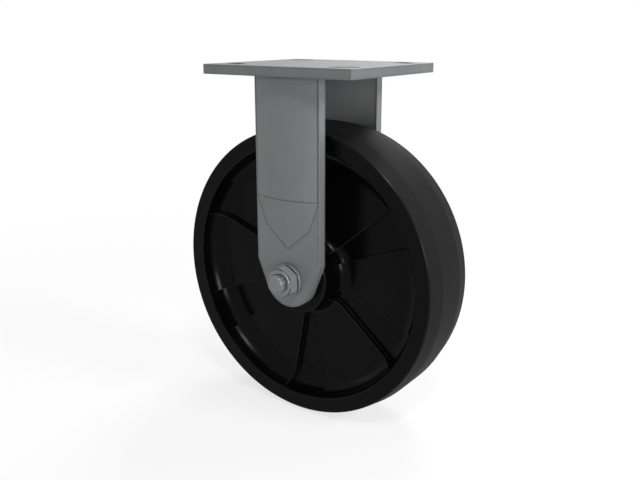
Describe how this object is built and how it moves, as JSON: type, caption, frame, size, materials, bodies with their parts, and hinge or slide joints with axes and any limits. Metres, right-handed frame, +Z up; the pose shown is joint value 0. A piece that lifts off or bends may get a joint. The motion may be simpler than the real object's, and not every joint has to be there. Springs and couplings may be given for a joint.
{
  "type": "fixed castor",
  "caption": "Fixed castor with a flat slotted top plate, two formed steel legs and a black moulded wheel with sunk web panels, turning on a caged roller bearing round a bolted axle.",
  "frame": {"origin": "centre of the top plate's upper (mounting) face", "axes": "+Z up out of the mounting face, +X the rolling direction, +Y along the axle towards the left leg"},
  "size_m": [0.2032, 0.1024, 0.2413],
  "materials": {
    "plate_steel": "satin zinc plate",
    "leg_steel": "satin zinc plate",
    "bolt_steel": "zinc plated",
    "bearing_steel": "ground and oiled",
    "nylon": "natural",
    "wheel_plastic": "moulded, semi-gloss"
  },
  "bodies": {
    "frame": {"top_plate": "plate_steel", "left_leg": "leg_steel", "right_leg": "leg_steel", "axle_bolt": "bolt_steel", "nut_washer": "bolt_steel", "lock_nut": "bolt_steel", "lock_nut_insert": "nylon", "spanner_bushing": "bearing_steel"},
    "wheel": {"wheel": "wheel_plastic", "bearing_sleeve": "bearing_steel", "left_bearing_retainer": "bearing_steel", "right_bearing_retainer": "bearing_steel"},
    "bearing_cage": {"bearing_cage": "bearing_steel"},
    "roller_01": {"bearing_roller_01": "bearing_steel"},
    "roller_02": {"bearing_roller_02": "bearing_steel"},
    "roller_03": {"bearing_roller_03": "bearing_steel"},
    "roller_04": {"bearing_roller_04": "bearing_steel"},
    "roller_05": {"bearing_roller_05": "bearing_steel"},
    "roller_06": {"bearing_roller_06": "bearing_steel"},
    "roller_07": {"bearing_roller_07": "bearing_steel"},
    "roller_08": {"bearing_roller_08": "bearing_steel"},
    "roller_09": {"bearing_roller_09": "bearing_steel"},
    "roller_10": {"bearing_roller_10": "bearing_steel"}
  },
  "joints": [
    {"name": "wheel_spin", "type": "hinge", "parent": "frame", "child": "wheel", "pos_m": [0, 0, -0.1397], "axis": [0, 1, 0], "continuous": true},
    {"name": "cage_spin", "type": "hinge", "parent": "frame", "child": "bearing_cage", "pos_m": [0, 0, -0.1397], "axis": [0, 1, 0], "continuous": true},
    {"name": "roller_01_spin", "type": "hinge", "parent": "bearing_cage", "child": "roller_01", "pos_m": [0.0127, 0, -0.1397], "axis": [0, 1, 0], "continuous": true},
    {"name": "roller_02_spin", "type": "hinge", "parent": "bearing_cage", "child": "roller_02", "pos_m": [0.01027, 0, -0.14716], "axis": [0, 1, 0], "continuous": true},
    {"name": "roller_03_spin", "type": "hinge", "parent": "bearing_cage", "child": "roller_03", "pos_m": [0.00392, 0, -0.15178], "axis": [0, 1, 0], "continuous": true},
    {"name": "roller_04_spin", "type": "hinge", "parent": "bearing_cage", "child": "roller_04", "pos_m": [-0.00392, 0, -0.15178], "axis": [0, 1, 0], "continuous": true},
    {"name": "roller_05_spin", "type": "hinge", "parent": "bearing_cage", "child": "roller_05", "pos_m": [-0.01027, 0, -0.14716], "axis": [0, 1, 0], "continuous": true},
    {"name": "roller_06_spin", "type": "hinge", "parent": "bearing_cage", "child": "roller_06", "pos_m": [-0.0127, 0, -0.1397], "axis": [0, 1, 0], "continuous": true},
    {"name": "roller_07_spin", "type": "hinge", "parent": "bearing_cage", "child": "roller_07", "pos_m": [-0.01027, 0, -0.13224], "axis": [0, 1, 0], "continuous": true},
    {"name": "roller_08_spin", "type": "hinge", "parent": "bearing_cage", "child": "roller_08", "pos_m": [-0.00392, 0, -0.12762], "axis": [0, 1, 0], "continuous": true},
    {"name": "roller_09_spin", "type": "hinge", "parent": "bearing_cage", "child": "roller_09", "pos_m": [0.00392, 0, -0.12762], "axis": [0, 1, 0], "continuous": true},
    {"name": "roller_10_spin", "type": "hinge", "parent": "bearing_cage", "child": "roller_10", "pos_m": [0.01027, 0, -0.13224], "axis": [0, 1, 0], "continuous": true}
  ],
  "couplings": [
    {"joint": "cage_spin", "follows": "wheel_spin", "ratio": 0.625},
    {"joint": "roller_01_spin", "follows": "wheel_spin", "ratio": 1.875},
    {"joint": "roller_02_spin", "follows": "wheel_spin", "ratio": 1.875},
    {"joint": "roller_03_spin", "follows": "wheel_spin", "ratio": 1.875},
    {"joint": "roller_04_spin", "follows": "wheel_spin", "ratio": 1.875},
    {"joint": "roller_05_spin", "follows": "wheel_spin", "ratio": 1.875},
    {"joint": "roller_06_spin", "follows": "wheel_spin", "ratio": 1.875},
    {"joint": "roller_07_spin", "follows": "wheel_spin", "ratio": 1.875},
    {"joint": "roller_08_spin", "follows": "wheel_spin", "ratio": 1.875},
    {"joint": "roller_09_spin", "follows": "wheel_spin", "ratio": 1.875},
    {"joint": "roller_10_spin", "follows": "wheel_spin", "ratio": 1.875}
  ]
}
